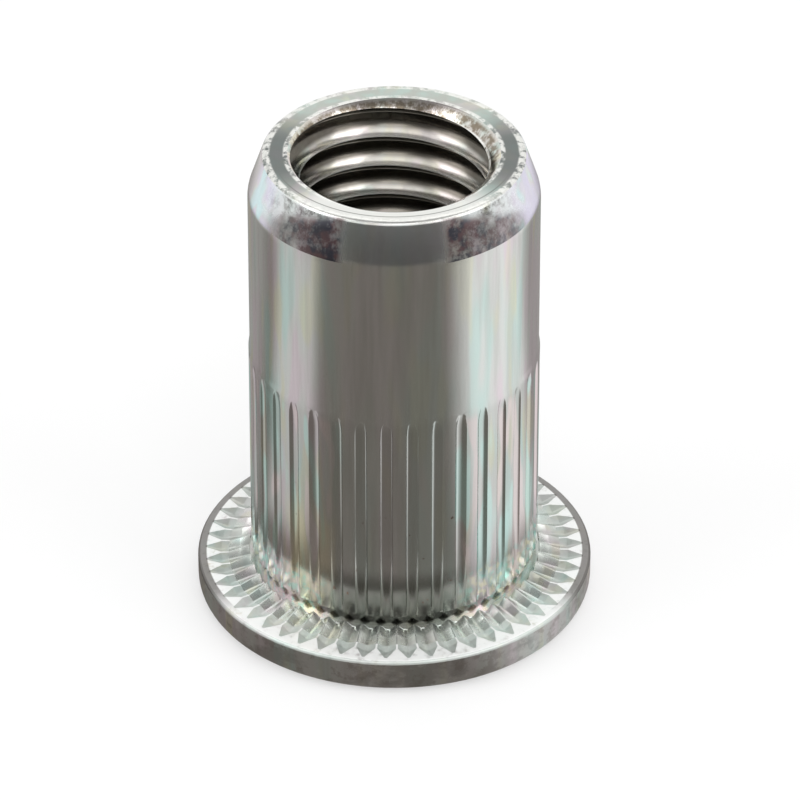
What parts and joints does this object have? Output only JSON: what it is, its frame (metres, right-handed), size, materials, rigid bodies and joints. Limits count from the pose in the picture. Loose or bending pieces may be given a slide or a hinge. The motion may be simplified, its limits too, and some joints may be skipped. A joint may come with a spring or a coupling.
{
  "type": "rivet nut",
  "caption": "Flanged rivet nut with a knurled shank, a serrated round flange, a coned nose and a threaded through bore.",
  "frame": {"origin": "centre of the flange's lower face", "axes": "+Z along the bore from the flange to the nose, -Y towards the front of the pictured side"},
  "size_m": [0.018, 0.018, 0.023],
  "materials": {
    "zinc_plated_steel": "bright zinc plate with a clear iridescent passivate"
  },
  "bodies": {
    "root": {"rivet_nut": "zinc_plated_steel"}
  },
  "joints": []
}
